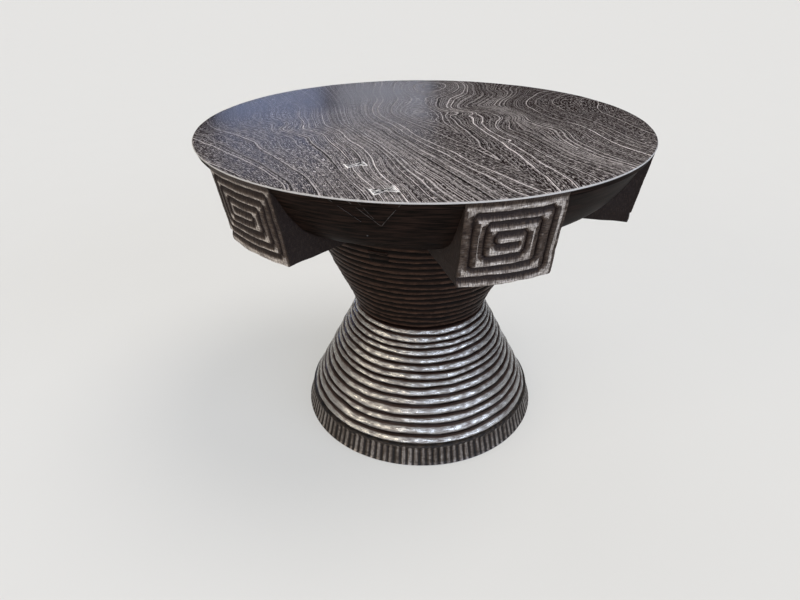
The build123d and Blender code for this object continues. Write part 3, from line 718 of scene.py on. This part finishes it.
def spiral_carving(side, down, tall, spiral, seed):
    """Depth of the carved face in mm, with its marks: along, across and hollow.

    Each level band rises slowly from the groove above it to a crest just over the groove
    below it, and each upright band is a low pillow between its grooves, kept darker as painted
    shade.
    """
    pitch, corners = spiral
    finer = (pitch / WIDE_PITCH) ** 3

    def wander(step, wide, high):
        """Noise of its own for each step, its features this many mm wide and high."""
        return drift(seed + step, side / wide + 40, down / high)

    # The spirals were laid out on a face 134 mm tall
    u = side + 1.3 * wander(0, 24, 30) + 0.4 * wander(1, 7, 7)
    v = down * 134 / tall + 1.4 * wander(2, 30, 24) + 0.4 * wander(3, 7, 7)

    # The groove's path cuts each corner 5.5 mm short, and the face's edges act as grooves too, the
    # top one only as painted shade
    path = [corners[0]]
    for before, corner, after in zip(corners, corners[1:], corners[2:]):
        for end in (before, after):
            share = 5.5 / (abs(end[0] - corner[0]) + abs(end[1] - corner[1]))
            path.append([corner[i] + (end[i] - corner[i]) * share for i in (0, 1)])
    path.append(corners[-1])
    lines = [*zip(path, path[1:]), ((-80, -1.5), (80, -1.5)), ((-80, 136.5), (80, 136.5))]
    lines += [((-77, -10), (-77, 140)), ((77, -10), (77, 140))]

    # Each gap is how far the place lies from its nearest groove, as a share of the band
    level_gap, upright_gap = np.ones(u.shape), np.ones(u.shape)
    for (u0, v0), (u1, v1) in lines:
        run = (u - u0) * (u1 - u0) + (v - v0) * (v1 - v0)
        run = np.clip(run / ((u1 - u0) ** 2 + (v1 - v0) ** 2), 0, 1)
        past_u = u - u0 - run * (u1 - u0)
        past_v = v - v0 - run * (v1 - v0)
        if abs(u1 - u0) > 1.5 * abs(v1 - v0):
            fall = np.where(past_v > 0, past_v / (0.8 * pitch), -past_v / (0.2 * pitch))
            level_gap = np.minimum(level_gap, np.hypot(past_u / 7, fall))
        else:
            fall = np.where(past_v > 0, past_v / 9, -past_v / 4)
            upright_gap = np.minimum(upright_gap, np.hypot(past_u / (0.5 * pitch), fall))
    level_depth = (1 - level_gap) ** 1.35
    upright_depth = 0.8 * (1 - upright_gap) ** 5
    hollow = np.maximum(level_depth, upright_depth)
    depth = (4.8 + 0.9 * wander(4, 28, 28)) * hollow * pitch / WIDE_PITCH
    level = level_depth >= upright_depth * 0.98
    along, beside = np.where(level, side, down), np.where(level, down, side)
    chisel = drift(seed + 5, along / 2.2 + 80, beside / 16 + 40)
    depth += 0.3 * (1 + chisel) * (1 - hollow) + 0.5 * (1 + wander(6, 19, 19))
    # Right under the board the face comes forward to meet it, so the top edge's groove is there
    # only in colour, as painted shade under the board
    depth *= np.clip((down - 2) / 8, 0, 1)

    # The upright bands take little wax and stay brown, painted shade for how light falls across
    # them; the level bands' crests take the wax
    level_stain_and_shade = 0.03 + (1 - level_gap) ** (1.25 * finer)
    # Under the board the level marks are held at middling darkness: painted shade under its lip
    level_stain_and_shade = np.minimum(level_stain_and_shade, 0.5 + 0.1 * np.clip(down - 5, 0, 9))
    upright_stain_and_shade = 0.38 + 0.62 * (1 - upright_gap) ** (4.2 * finer)
    upright_stain_and_shade = upright_stain_and_shade + 0.09 * wander(7, 6, 5)
    crossed = np.clip((upright_gap - 0.55) / 0.4, 0, 1)
    mark = np.where(level, np.maximum(level_stain_and_shade, upright_stain_and_shade * (1 - crossed)), upright_stain_and_shade)
    marks = np.stack([along + 200, beside + 200, mark], axis=-1)
    return np.maximum(depth, 0), marks


def carved_block(number, azimuth, foot, spiral):
    """A radial block: a carved outer face and planed sides running back into the drum."""
    seed = 100 + number * 17
    wide, high, deep = 200, 176, 30
    half, tall, soft, ragged = BLOCK_WIDTH / 2, FACE_TOP - foot, 4.5, 0.9
    side, down = np.meshgrid(np.linspace(-half, half, wide), np.linspace(0, tall, high))
    depth, marks = spiral_carving(side, down, tall, spiral, seed)

    # Round the two lower corners and waver the outline a little
    over_x = np.clip(np.abs(side) - (half - soft), 0, soft)
    over_z = np.clip(down - (tall - soft), 0, soft)
    length = np.hypot(over_x, over_z)
    pull = np.where(length > 0, np.maximum(over_x, over_z) / np.maximum(length, 1e-6), 1)
    hand = np.sign(side)
    side = hand * (np.abs(side) - over_x * (1 - pull))
    down = down - over_z * (1 - pull)
    share_x, share_z = np.abs(side) / half, down / tall
    waver = 1 + drift(seed + 9, down / 22, hand * 3 + 40)
    side = side - hand * share_x**4 * ragged * waver
    down = down - share_z**6 * ragged * (1 + drift(seed + 10, side / 20 + 40))

    # The face leans out from its foot, and stops short of the board's rim
    lean = (BLOCK_TOP_REACH - BLOCK_FOOT_REACH) / BLOCK_HEIGHT
    front = BLOCK_FOOT_REACH + lean * (FACE_TOP - down - BLOCK_FOOT_HEIGHT)
    outward = np.sqrt(np.minimum(front, 401.4) ** 2 - side**2) - depth
    points = [np.stack([side, -outward, FACE_TOP - down], axis=-1).reshape(-1, 3)]
    all_marks = [marks.reshape(-1, 3)]
    index = np.arange(wide * high).reshape(high, wide)
    quads = [index[:-1, :-1], index[1:, :-1], index[1:, 1:], index[:-1, 1:]]
    faces = np.stack(quads, axis=-1).reshape(-1, 4).tolist()

    # The sides run back from the face's outline in rings, planed by eye
    before = np.concatenate([index[0], index[1:, -1], index[-1, -2::-1], index[-2:0:-1, 0]])
    rim = points[0][before]
    total, count = wide * high, len(before)
    middle = np.array([0, 0, FACE_TOP - tall / 2])
    for step in range(1, deep + 1):
        share = step / deep
        ring = rim.copy()
        ring[:, 1] = rim[:, 1] * (1 - share) - BLOCK_INNER_REACH * share
        planed = 1 + drift(seed + 8, np.arange(count) / 14, share * 6, 54)
        inward = ring - middle
        inward[:, 1] = 0
        inward /= np.linalg.norm(inward, axis=1)[:, None]
        inward[rim[:, 2] > FACE_TOP - 0.2] = 0
        ring -= inward * (0.5 * planed * min(1, step / 3))[:, None]
        # Behind the face the top sits under the board
        ring[:, 2] = np.minimum(ring[:, 2], FACE_TOP - 9.6 * min(1, step / 2))
        points.append(ring)
        # The planed sides carry a deep groove's mark, so most of the dark stain covers them
        side_marks = [-ring[:, 1], np.arange(count), np.full(count, 0.72)]
        all_marks.append(np.stack(side_marks, axis=-1))
        now = np.arange(total, total + count)
        faces += zip(before, np.roll(before, -1), np.roll(now, -1), now)
        before, total = now, total + count
    faces += [(a, b, total) for a, b in zip(before, np.roll(before, -1))]
    points = np.concatenate([*points, [[0, -BLOCK_INNER_REACH, middle[2]]]])
    all_marks = np.concatenate([*all_marks, [[0, 0, 0.6]]])
    points[:, :2] = np.stack(swing(points[:, 0], points[:, 1], radians(azimuth)), axis=-1)
    name, node = f"spiral_block_{number}", f"carved_block_{number}"
    make_piece(name, points, faces, "block_wood", block_finish, node, 70.0, all_marks)


for block, foot in enumerate((473.0, 475.5, 474.5, 476.0, 475.0, 477.5)):
    carved_block(block + 1, 60.0 * block, foot, CLOSE_SPIRAL if block % 2 else WIDE_SPIRAL)


# ---------------------------------------------------------------- drum bowl

# Radius and height up the bowl, from the pedestal's head to its mouth under the board
BOWL_PROFILE = [
    (226, 463), (245, 470.5), (270, 482.5), (300, 497), (320, 507.5), (338, 518.5), (352, 530),
    (364, 545), (374, 560), (382, 575), (389.5, 588), (395, 598), (399.6, 606.8),
]
WALL = smooth_line(BOWL_PROFILE, 200)
# The grain's marks count 2300 mm round the wall, and the slanted way up it
AROUND_WALL = 2300 / 360
UP_WALL = 1.3


def drum_bowl():
    """The drum's smooth body, hand-sanded, so that its curve is never quite true."""
    columns = 540
    curve = smooth_line(BOWL_PROFILE, 90)
    radii = np.concatenate([[4, 120], curve[:, 0], [397.4, 397.2, 200, 4]])
    heights = np.concatenate([[463.2, 463.2], curve[:, 1], [606.9, 597.9, 597.9, 597.9]])
    radius, height, turn = ring_grid(radii, heights, np.arange(columns) * 360 / columns)
    sanded = 0.7 + 0.7 * drift(31, turn / 20, height / 50, 18)
    radius[2:-5] -= sanded[2:-5]
    marks = np.stack([turn * AROUND_WALL, height * UP_WALL, 0 * turn], axis=-1)
    dress = ("drum_wood", drum_finish, "drum_bowl", 50.0)
    lathe_piece("drum_body", radius, height, turn, marks, *dress)


drum_bowl()


# ---------------------------------------------------------------- ringed cones


def ringed_cone(name, foot, head, grooves, carving, seed, grid, dress):
    """A cone of hand-carved rings: convex ridges, wavering grooves and shallow gouge facets.

    Foot and head are a radius and a height each. The carving is how deep the grooves are
    and how far they waver, and how full the rings are: the fuller, the flatter their backs
    and the narrower the grooves. The grid is the columns and the rows to a ring.
    """
    depth, waver, full = carving
    columns, rows = grid
    slope = np.subtract(head, foot)
    slope /= np.hypot(*slope)
    azimuth = np.arange(columns) * 360 / columns
    radii, heights, marks = [], [], []
    count = len(grooves) - 1
    lip = 0.26
    for ring in range(count):
        shares = np.linspace(0, 1, rows + 1) ** 1.3
        if ring < count - 1:
            shares = shares[:-1]
        edges = []
        for edge in (ring, ring + 1):
            shift = drift(seed + edge, azimuth / 24, wrap=15)
            shift = waver * (shift + 0.5 * drift(seed + edge, azimuth / 8, 9.0, 45))
            edges.append(grooves[edge] + (0 if edge in (0, count) else shift))
        lift = drift(seed + 80 + ring, azimuth / 15, wrap=24)
        lift = lift + 0.6 * drift(seed + 110 + ring, azimuth / 5, wrap=72)
        back = 0.7 * waver * (1 + drift(seed + 140, azimuth / 40, 1.7 * ring, 9))
        for share in shares:
            level = edges[0] + (edges[1] - edges[0]) * share
            # The lip just over the lower groove stands proud, the ring falls back above it
            below = share < lip
            flank = (lip - share) / lip if below else (share - lip) / (1 - lip)
            ridge = 1 - flank ** (2.0 if below else full)
            hollow = flank ** (3.0 if below else full - 0.3)
            streak = drift(seed + 50 + ring, azimuth / 4 + share * 2.5, share * 6, 90)
            finer = drift(seed + 60 + ring, azimuth / 2 + share * 3, share * 9, 180)
            facet = 0.95 + 0.5 * (streak + 0.5 * finer) + 0.5 * lift + back
            inset = depth * (1 - ridge) * (1 + 0.15 * lift) + ridge * facet
            inset = np.maximum(inset, 0)
            reach = foot[0] + (head[0] - foot[0]) * (level - foot[1]) / (head[1] - foot[1])
            radii.append(reach - inset * slope[1])
            heights.append(np.clip(level + inset * slope[0], foot[1], head[1]))
            # The marks count 1400 mm round the cone, and the slanted way up it
            mark = [azimuth / 360 * 1400, level * 1.15 + ring * 7, np.full(columns, hollow)]
            marks.append(np.stack(mark, axis=-1))
    radius, height, marks = np.array(radii), np.array(heights), np.array(marks)
    turn = np.broadcast_to(azimuth, radius.shape)
    lathe_piece(name, radius, height, turn, marks, *dress, crease=75.0)


LOWER_GROOVES = [46, 63, 82, 96, 114, 130, 147, 159, 173, 187, 201, 213, 225, 237, 248.5]
UPPER_GROOVES = [
    248.5, 262, 275.5, 289, 303, 316, 329.5, 343, 356, 370, 383.5, 397, 411, 424, 437, 450, 463
]
WAIST, HEAD = (WAIST_RADIUS, WAIST_HEIGHT), (HEAD_RADIUS, HEAD_HEIGHT)

ringed_cone(
    "lower_cone", (237.6, 45.6), WAIST, LOWER_GROOVES, (6.6, 1.5, 2.5), 200, (720, 12),
    ("lower_cone_wood", lower_cone_finish, "pedestal_lower"),
)
# The upper cone wears the darker copy of the ringed teak, painted shade under the drum
ringed_cone(
    "upper_cone", WAIST, HEAD, UPPER_GROOVES, (6.0, 1.9, 1.8), 400, (600, 10),
    ("upper_cone_wood", upper_cone_shaded_finish, "pedestal_upper"),
)


# ---------------------------------------------------------------- fluted base


def fluted_base():
    """The plinth: round-topped reeds parted by narrow cuts under a rounded ledge."""
    flutes, samples = 120, 10
    columns = flutes * samples
    azimuth = (np.arange(columns) + 0.5) * 360 / columns
    flute = np.arange(columns) // samples

    # Each reed leans to one side, ends at its own height, and has its own depth and wear
    random = np.random.RandomState(71)
    shift, rise, strength, worn = (
        random.uniform(low, high, flutes)[flute]
        for low, high in ((-0.22, 0.22), (-1.6, 1.1), (0.75, 1.15), (0.06, 0.26))
    )
    q = (np.arange(columns) % samples + 0.5) / samples * 2 - 1
    bowed = np.clip(q + shift * (1 - q * q), -1, 1)
    arch = 40.3 + rise - 4.6 * bowed**2

    reeds, ends = np.linspace(5, 36, 16), np.linspace(36.5, 42, 14)
    rounding = [43, 44, 44.8, 45.4, 45.8, 46, 46]
    levels = np.concatenate([[PAD_THICKNESS, 3.5, 4.2], reeds, ends, rounding])
    reach = np.interp(
        levels,
        [3, 3.5, 36, 40, 42, 43, 44, 44.8, 45.4, 45.8],
        [248.6, 249.6, 240.4, 239.7, 239.0, 238.3, 237.0, 235.4, 233.4, 231.0],
    )
    reach[-2:] = 229, 4
    radius, height, turn = ring_grid(reach, levels, azimuth)
    entry = np.clip((arch - height) / 1.8, 0, 1) * np.clip((height - 3.4) / 3, 0, 1)
    cut = strength * (1.1 + 2.6 * np.abs(bowed) ** 3) + 0.25 * drift(72, turn / 3, height / 6, 120)
    radius[:-2] -= (entry * cut)[:-2]

    # The cuts between the reeds are hollow, and the ledge over them is rough
    ledge = np.clip((height - arch) / 1.5, 0, 1)
    hollow = worn + (1 - worn) * np.abs(bowed) ** 2.2 + 0.1 * drift(74, turn / 1.3, height / 3, 277)
    rough = 0.6 + 0.25 * drift(75, turn / 1.5, height / 2, 240)
    marks = [height, turn / 360 * 1500, hollow * (1 - ledge) + rough * ledge]
    marks = np.stack(marks, axis=-1)
    for inner_radius in (246.0, 4.0):
        radius = np.concatenate([np.full((1, columns), inner_radius), radius])
        height = np.concatenate([height[:1], height])
        marks = np.concatenate([marks[:1], marks])
    turn = np.broadcast_to(azimuth, radius.shape)
    dress = ("base_wood", base_finish, "fluted_base", 60.0)
    lathe_piece("fluted_plinth", radius, height, turn, marks, *dress)


fluted_base()


# ---------------------------------------------------------------- patches and filler lines


def wall_point(azimuth, height, proud):
    """A point on the bowl's wall, standing proud of it by this much."""
    reach = np.interp(height, WALL[:, 1], WALL[:, 0]) + proud
    return (*polar(reach, azimuth), height)


def bowl_patch():
    """A V-shaped wedge let into the wall under the rim, a hair proud of it."""
    centre, half, lean, drop, proud, deep = -27.2, 5.0, 0.6, 41.0, 0.35, 18.0
    rows, columns = 24, 28
    points, marks = [], []
    for out in (proud, -deep):
        for row in range(rows + 1):
            share = row / rows
            height = 606.7 - drop * share
            spread = half * (1 - share * 0.985)
            for column in range(columns + 1):
                azimuth = centre + lean * share + spread * (2 * column / columns - 1)
                edge = row in (0, rows) or column in (0, columns)
                points.append(wall_point(azimuth, height, 0 if edge and out > 0 else out))
                marks.append((azimuth * AROUND_WALL + 400, height * UP_WALL + 77, 0))
    faces = slab_faces(rows, columns)
    dress = ("drum_wood", drum_finish, "bowl_patch", 40.0)
    make_piece("wall_patch", points, faces, *dress, marks)


def filler_line(name, start, stop, width=0.9):
    """A hairline of wax filler along a joint in the bowl's wall, from azimuth and height."""
    steps, degree, proud, sunk = 30, 6.6, 0.42, -0.6
    points, faces = [], []
    across = np.array([start[1] - stop[1], (stop[0] - start[0]) * degree])
    across = across / np.hypot(*across) * width / 2
    for step in range(steps + 1):
        share = step / steps
        azimuth, height = (a + (b - a) * share for a, b in zip(start, stop))
        swell = 0.6 + 0.4 * sin(share * 19) * sin(share * 7)
        for side, out in ((-1, sunk), (-1, proud), (1, proud), (1, sunk)):
            aside, up = side * swell * across / (degree, 1)
            points.append(wall_point(azimuth + aside, height + up, out))
    for a in range(0, steps * 4, 4):
        for i in range(4):
            beside = (i + 1) % 4
            faces.append((a + i, a + beside, a + 4 + beside, a + 4 + i))
    faces += [(0, 3, 2, 1), tuple(range(steps * 4, steps * 4 + 4))]
    make_piece(name, points, faces, "drum_wood", filler_finish, crease=60.0)


def cone_patch():
    """A small rectangular piece let into the upper cone, its rings a little out of step."""
    centre, half, top, tall, deep = -38.0, 4.75, 448.0, 26.0, 14.0
    rows, columns = 30, 24
    points, marks = [], []
    for inner in (False, True):
        for row in range(rows + 1):
            height = top - tall * row / rows
            reach = np.interp(height, (WAIST_HEIGHT, HEAD_HEIGHT), (WAIST_RADIUS, HEAD_RADIUS))
            wave = 0.9 * (1 + cos((height - 426.5) / 13.3 * 2 * pi))
            for column in range(columns + 1):
                azimuth = centre + half * (2 * column / columns - 1)
                edge = row in (0, rows) or column in (0, columns)
                inset = deep if inner else 0.5 + wave + (1.2 if edge else 0)
                points.append((*polar(reach - inset, azimuth), height))
                marks.append((azimuth * 3.9, height, 0.25 + 0.5 * wave / 1.8))
    faces = slab_faces(rows, columns)
    # The patch wears the upper cone's darker copy, painted shade included
    dress = ("upper_cone_wood", upper_cone_shaded_finish, "pedestal_patch", 50.0)
    make_piece("cone_patch", points, faces, *dress, marks)


def nail_head():
    """A small sunk nail head in the bowl's wall, square to the wall's slope."""
    centre = np.array(wall_point(-30.2, 544, 0.3))
    away = centre[:2] / np.hypot(*centre[:2])
    out = np.array([*away * 0.86, -0.5])
    side = np.cross(out, (0, 0, 1))
    side /= np.linalg.norm(side)
    turns = np.arange(16) / 16 * 2 * pi
    spokes = np.outer(np.cos(turns), side) + np.outer(np.sin(turns), np.cross(side, out))
    steps = ((1.3, -4), (1.3, 0), (1.0, 0.35), (0.4, 0.45))
    rings = [centre + out * proud + radius * spokes for radius, proud in steps]
    points = np.concatenate([*rings, [centre - out * 4, centre + out * 0.45]])
    make_piece("nail_head", points, lathe_faces(4, 16), "drum_wood", nail_finish)


bowl_patch()
filler_line("seam_left", (-32.2, 606.4), (-26.7, 566.0))
filler_line("seam_right", (-26.5, 566.0), (-22.2, 606.4))
filler_line("seam_far_left", (-36.0, 606.0), (-30.6, 571.0), 0.6)
filler_line("seam_far_right", (-27.8, 578.0), (-30.2, 606.0), 0.6)
cone_patch()
nail_head()


# ---------------------------------------------------------------- hidden joinery, as built in CAD

HIDDEN = {
    "board_dowels": dowel_finish,
    "block_dowels": dowel_finish,
    "head_dowels": dowel_finish,
    "waist_dowel": dowel_finish,
    "base_screws": steel_finish,
    "floor_pads": felt_finish,
}
for node_name, finish in HIDDEN.items():
    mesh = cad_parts[node_name].data
    mesh.materials.clear()
    mesh.materials.append(finish)


# ---------------------------------------------------------------- floor, light and camera


def add_light(name, kind, azimuth, elevation, power, colour):
    """A light that shines on the table from this direction."""
    data = bpy.data.lights.new(name, kind)
    data.energy = power
    data.color = hex_colour(colour)[:3]
    light = add_object(name, data)
    light.rotation_euler = (pi / 2 - radians(elevation), 0, radians(azimuth))
    return light


def soft_sun(name, azimuth, elevation, spread, power, colour):
    """An even, far light from this direction; a wide spread softens its shadow."""
    light = add_light(name, "SUN", azimuth, elevation, power, colour)
    light.data.angle = radians(spread)


def window_panel(name, azimuth, elevation, distance, size, power, colour):
    """A pale window beyond the table that only shows as a sheen in its top.

    It lights nothing evenly, so that it can be bright enough for that sheen.
    """
    light = add_light(name, "AREA", azimuth, elevation, power, colour)
    light.data.shape = "RECTANGLE"
    light.data.size, light.data.size_y = size
    lift = radians(elevation)
    x, y = polar(distance * cos(lift), azimuth)
    light.location = (x, y, TABLE_HEIGHT / 1000 + distance * sin(lift))
    light.visible_camera = False
    light.visible_diffuse = False


def pale_floor():
    """A plain pale floor that runs on past the view; part of its paleness is its own."""
    material, tree = new_finish("pale_painted_floor")
    # Rolled paint, its tone a trace uneven every 170 mm
    place = put(tree, "TexCoord", out="Object")
    noise = put(tree, "TexNoise", {"Vector": place, "Scale": 6.0, "Detail": 3.0})
    tints = {6: hex_colour("#868685"), 7: hex_colour("#888887")}
    colour = put(tree, "Mix", {0: noise, **tints}, **TINTS)
    glow = {"Emission Color": hex_colour("#e1e1dd"), "Emission Strength": 0.55}
    inputs = {"Base Color": colour, "Roughness": 0.9, "Specular IOR Level": 0.0, **glow}
    shader = put(tree, "BsdfPrincipled", inputs)
    put(tree, "OutputMaterial", {"Surface": shader})
    mesh = bpy.data.meshes.new("floor")
    corner = 40.0
    corners = [(x * corner, y * corner, 0) for x, y in ((-1, -1), (1, -1), (1, 1), (-1, 1))]
    mesh.from_pydata(corners, [], [(0, 1, 2, 3)])
    mesh.materials.append(material)
    add_object("floor", mesh)


def studio_world():
    """A dim room whose whole front is one low, wide, bright softbox.

    It is cream on the left and daylight blue on the right. Beyond the floor the camera
    sees the floor's own colour.
    """
    world = bpy.data.worlds.new("studio")
    bpy.context.scene.world = world
    world.use_nodes = True
    tree = world.node_tree
    tree.nodes.clear()
    way = put(tree, "TexCoord", out="Generated")
    height = put(tree, "SeparateXYZ", {0: way}, out=2)
    ahead, right = (
        put(tree, "VectorMath", {0: way, 1: axis}, out="Value", operation="DOT_PRODUCT")
        for axis in ((-0.358, -0.934, 0), (0.948, -0.319, 0))
    )

    # The softbox ends softly at its foot, at its head and at both sides
    foot, head, wide, turn = (
        put(tree, "MapRange", {0: along, 1: start, 2: stop}, **EASED)
        for along, start, stop in (
            (height, -0.02, 0.06), (height, 0.62, 0.4), (ahead, -0.05, 0.3), (right, -0.45, 0.05)
        )
    )
    power = put(tree, "MapRange", {0: right, 1: -0.7, 2: 0.1, 3: 5.4, 4: 7.3})
    for share in (foot, head, wide):
        power = put(tree, "Math", {0: power, 1: share}, **TIMES)
    tints = {6: hex_colour("#fff1e0"), 7: hex_colour("#d8e3fc")}
    tint = put(tree, "Mix", {0: turn, **tints}, **TINTS)
    softbox = put(tree, "Background", {"Color": tint, "Strength": power})
    dim = put(tree, "MapRange", {0: height, 1: 0.35, 2: 1.0, 3: 0.05, 4: 0.35})
    room = put(tree, "Background", {"Color": hex_colour("#e6e8ea"), "Strength": dim})
    lit = put(tree, "AddShader", {0: softbox, 1: room})
    seen = put(tree, "Background", {"Color": hex_colour("#e2e2e0"), "Strength": 1.0})
    camera_ray = put(tree, "LightPath", out="Is Camera Ray")
    both = put(tree, "MixShader", {0: camera_ray, 1: lit, 2: seen})
    put(tree, "OutputWorld", {"Surface": both})


pale_floor()
studio_world()
soft_sun("key_from_upper_right", 76, 66, 34, 2.0, "#fff8f0")
soft_sun("fill_from_behind", 200, 60, 60, 0.6, "#f4f4ff")
window_panel("window_behind", 165.6, 12.7, 5.0, (0.92, 0.5), 105.0, "#d6dcee")
window_panel("window_behind_left", 178.5, 15.0, 5.0, (1.0, 1.0), 215.0, "#a5b7e2")

camera_data = bpy.data.cameras.new("camera")
camera_data.sensor_fit = "HORIZONTAL"
camera_data.sensor_width = 36.0
camera_data.lens = 27.0
camera = add_object("camera", camera_data)
camera.location = (-0.35216, -1.04643, 0.8815)
camera.rotation_euler = (radians(59.639), radians(0.371), radians(-16.587))
bpy.context.scene.camera = camera

bpy.context.scene.view_settings.view_transform = "Standard"
